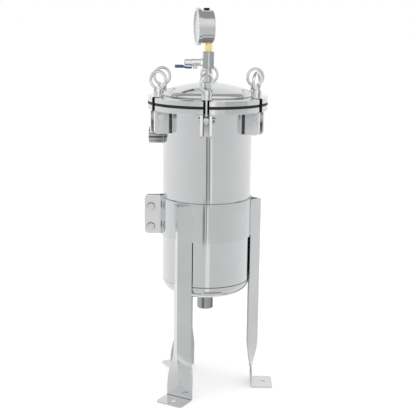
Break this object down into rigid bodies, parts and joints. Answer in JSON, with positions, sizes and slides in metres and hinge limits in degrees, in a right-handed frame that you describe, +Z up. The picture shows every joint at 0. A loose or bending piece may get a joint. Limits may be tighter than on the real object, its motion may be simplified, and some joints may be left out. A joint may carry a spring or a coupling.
{
  "type": "bag filter housing",
  "caption": "Polished steel bag filter housing on folded legs, with a swing-bolt domed lid, side inlet, bottom outlet, vent valve and pressure gauge.",
  "frame": {"origin": "on the floor, on the housing's axis and in the middle of the three foot holes", "axes": "+Z up along the housing's axis, -Y towards the front, where one swing bolt and the heads of the band's clamp bolts are, -X towards the side inlet"},
  "size_m": [0.3299, 0.3348, 0.9565],
  "materials": {
    "polished_shell": "mirror polished stainless steel",
    "polished_flange": "bright turned stainless steel",
    "polished_fastener": "polished stainless fasteners",
    "bright_plate": "bright rolled stainless plate",
    "gauge_steel": "polished stainless gauge case",
    "gauge_brass": "machined brass",
    "black_rubber": "matt black rubber",
    "clear_glass": "clear flat glass",
    "white_dial": "matt white enamel",
    "black_pointer": "black enamel",
    "blue_vinyl": "dipped blue vinyl",
    "valve_chrome": "nickel and chrome plated brass",
    "perforated_steel": "satin perforated sheet",
    "bag_felt": "needle felt",
    "bag_ring_plastic": "moulded polypropylene"
  },
  "bodies": {
    "housing": {"shell": "polished_shell", "bottom_head": "polished_shell", "body_flange": "polished_flange", "inlet_coupling": "bright_plate", "outlet_coupling": "bright_plate", "bag_seat_ring": "bright_plate", "lid_gasket": "black_rubber", "lug_pair_1": "bright_plate", "lug_pair_2": "bright_plate", "lug_pair_3": "bright_plate", "lug_pair_4": "bright_plate", "lug_pair_5": "bright_plate", "lug_pair_6": "bright_plate", "lug_pins": "polished_fastener", "lug_pin_nuts": "polished_fastener", "support_band": "bright_plate", "clamp_bolts": "polished_fastener", "clamp_nuts": "polished_fastener", "clamp_washers": "polished_fastener", "leg_right": "bright_plate", "leg_front_left": "bright_plate", "leg_back_left": "bright_plate"},
    "lid": {"lid_flange": "polished_flange", "lid_dome": "polished_shell", "lid_neck": "bright_plate", "gauge_block": "bright_plate", "valve_body": "valve_chrome", "valve_end": "valve_chrome", "gauge_stem": "gauge_brass", "gauge_case": "gauge_steel", "gauge_bezel": "gauge_steel", "gauge_lens": "clear_glass", "gauge_dial": "white_dial", "gauge_movement": "gauge_brass", "gauge_fill_plug": "black_rubber"},
    "vent_valve_key": {"valve_ball": "valve_chrome", "valve_stem": "valve_chrome", "valve_lever": "valve_chrome", "lever_grip": "blue_vinyl", "lever_nut": "valve_chrome"},
    "pointer": {"gauge_pointer": "black_pointer"},
    "basket_body": {"basket": "perforated_steel", "basket_rim": "perforated_steel"},
    "bag_body": {"filter_bag": "bag_felt", "bag_ring": "bag_ring_plastic"},
    "bolt_1": {"swing_bolt_1": "polished_fastener"},
    "nut_1": {"eye_nut_1": "polished_fastener"},
    "bolt_2": {"swing_bolt_2": "polished_fastener"},
    "nut_2": {"eye_nut_2": "polished_fastener"},
    "bolt_3": {"swing_bolt_3": "polished_fastener"},
    "nut_3": {"eye_nut_3": "polished_fastener"},
    "bolt_4": {"swing_bolt_4": "polished_fastener"},
    "nut_4": {"eye_nut_4": "polished_fastener"},
    "bolt_5": {"swing_bolt_5": "polished_fastener"},
    "nut_5": {"eye_nut_5": "polished_fastener"},
    "bolt_6": {"swing_bolt_6": "polished_fastener"},
    "nut_6": {"eye_nut_6": "polished_fastener"}
  },
  "joints": [
    {"name": "lid_lift", "type": "slide", "parent": "housing", "child": "lid", "axis": [0, 0, 1], "range_m": [0, 0.45]},
    {"name": "bolt_1_swing", "type": "hinge", "parent": "housing", "child": "bolt_1", "pos_m": [-0.00283, -0.13497, 0.7], "axis": [-0.9998, 0.0209, 0], "range_deg": [-105, 0]},
    {"name": "nut_1_lift", "type": "slide", "parent": "bolt_1", "child": "nut_1", "axis": [0, 0, 1], "range_m": [0, 0.45]},
    {"name": "bolt_2_swing", "type": "hinge", "parent": "housing", "child": "bolt_2", "pos_m": [0.11547, -0.06993, 0.7], "axis": [-0.518, -0.8554, 0], "range_deg": [-105, 0]},
    {"name": "nut_2_lift", "type": "slide", "parent": "bolt_2", "child": "nut_2", "axis": [0, 0, 1], "range_m": [0, 0.45]},
    {"name": "bolt_3_swing", "type": "hinge", "parent": "housing", "child": "bolt_3", "pos_m": [0.1183, 0.06504, 0.7], "axis": [0.4818, -0.8763, 0], "range_deg": [-105, 0]},
    {"name": "nut_3_lift", "type": "slide", "parent": "bolt_3", "child": "nut_3", "axis": [0, 0, 1], "range_m": [0, 0.45]},
    {"name": "bolt_4_swing", "type": "hinge", "parent": "housing", "child": "bolt_4", "pos_m": [0.00283, 0.13497, 0.7], "axis": [0.9998, -0.0209, 0], "range_deg": [-105, 0]},
    {"name": "nut_4_lift", "type": "slide", "parent": "bolt_4", "child": "nut_4", "axis": [0, 0, 1], "range_m": [0, 0.45]},
    {"name": "bolt_5_swing", "type": "hinge", "parent": "housing", "child": "bolt_5", "pos_m": [-0.11547, 0.06993, 0.7], "axis": [0.518, 0.8554, 0], "range_deg": [-105, 0]},
    {"name": "nut_5_lift", "type": "slide", "parent": "bolt_5", "child": "nut_5", "axis": [0, 0, 1], "range_m": [0, 0.45]},
    {"name": "bolt_6_swing", "type": "hinge", "parent": "housing", "child": "bolt_6", "pos_m": [-0.1183, -0.06504, 0.7], "axis": [-0.4818, 0.8763, 0], "range_deg": [-105, 0]},
    {"name": "nut_6_lift", "type": "slide", "parent": "bolt_6", "child": "nut_6", "axis": [0, 0, 1], "range_m": [0, 0.45]},
    {"name": "vent_quarter_turn", "type": "hinge", "parent": "lid", "child": "vent_valve_key", "pos_m": [-0.03238, -0.00283, 0.826], "axis": [0, 0, 1], "range_deg": [0, 90]},
    {"name": "pointer_turn", "type": "hinge", "parent": "lid", "child": "pointer", "pos_m": [0, 0, 0.9115], "axis": [0.9816, 0.1908, 0], "range_deg": [0, 270]},
    {"name": "basket_lift", "type": "slide", "parent": "housing", "child": "basket_body", "axis": [0, 0, 1], "range_m": [0, 0.3]},
    {"name": "bag_lift", "type": "slide", "parent": "housing", "child": "bag_body", "axis": [0, 0, 1], "range_m": [0, 0.43]}
  ],
  "couplings": [
    {"joint": "nut_1_lift", "follows": "lid_lift", "ratio": 1},
    {"joint": "nut_2_lift", "follows": "lid_lift", "ratio": 1},
    {"joint": "nut_3_lift", "follows": "lid_lift", "ratio": 1},
    {"joint": "nut_4_lift", "follows": "lid_lift", "ratio": 1},
    {"joint": "nut_5_lift", "follows": "lid_lift", "ratio": 1},
    {"joint": "nut_6_lift", "follows": "lid_lift", "ratio": 1},
    {"joint": "basket_lift", "follows": "lid_lift", "ratio": 0.6},
    {"joint": "bag_lift", "follows": "lid_lift", "ratio": 0.95}
  ]
}
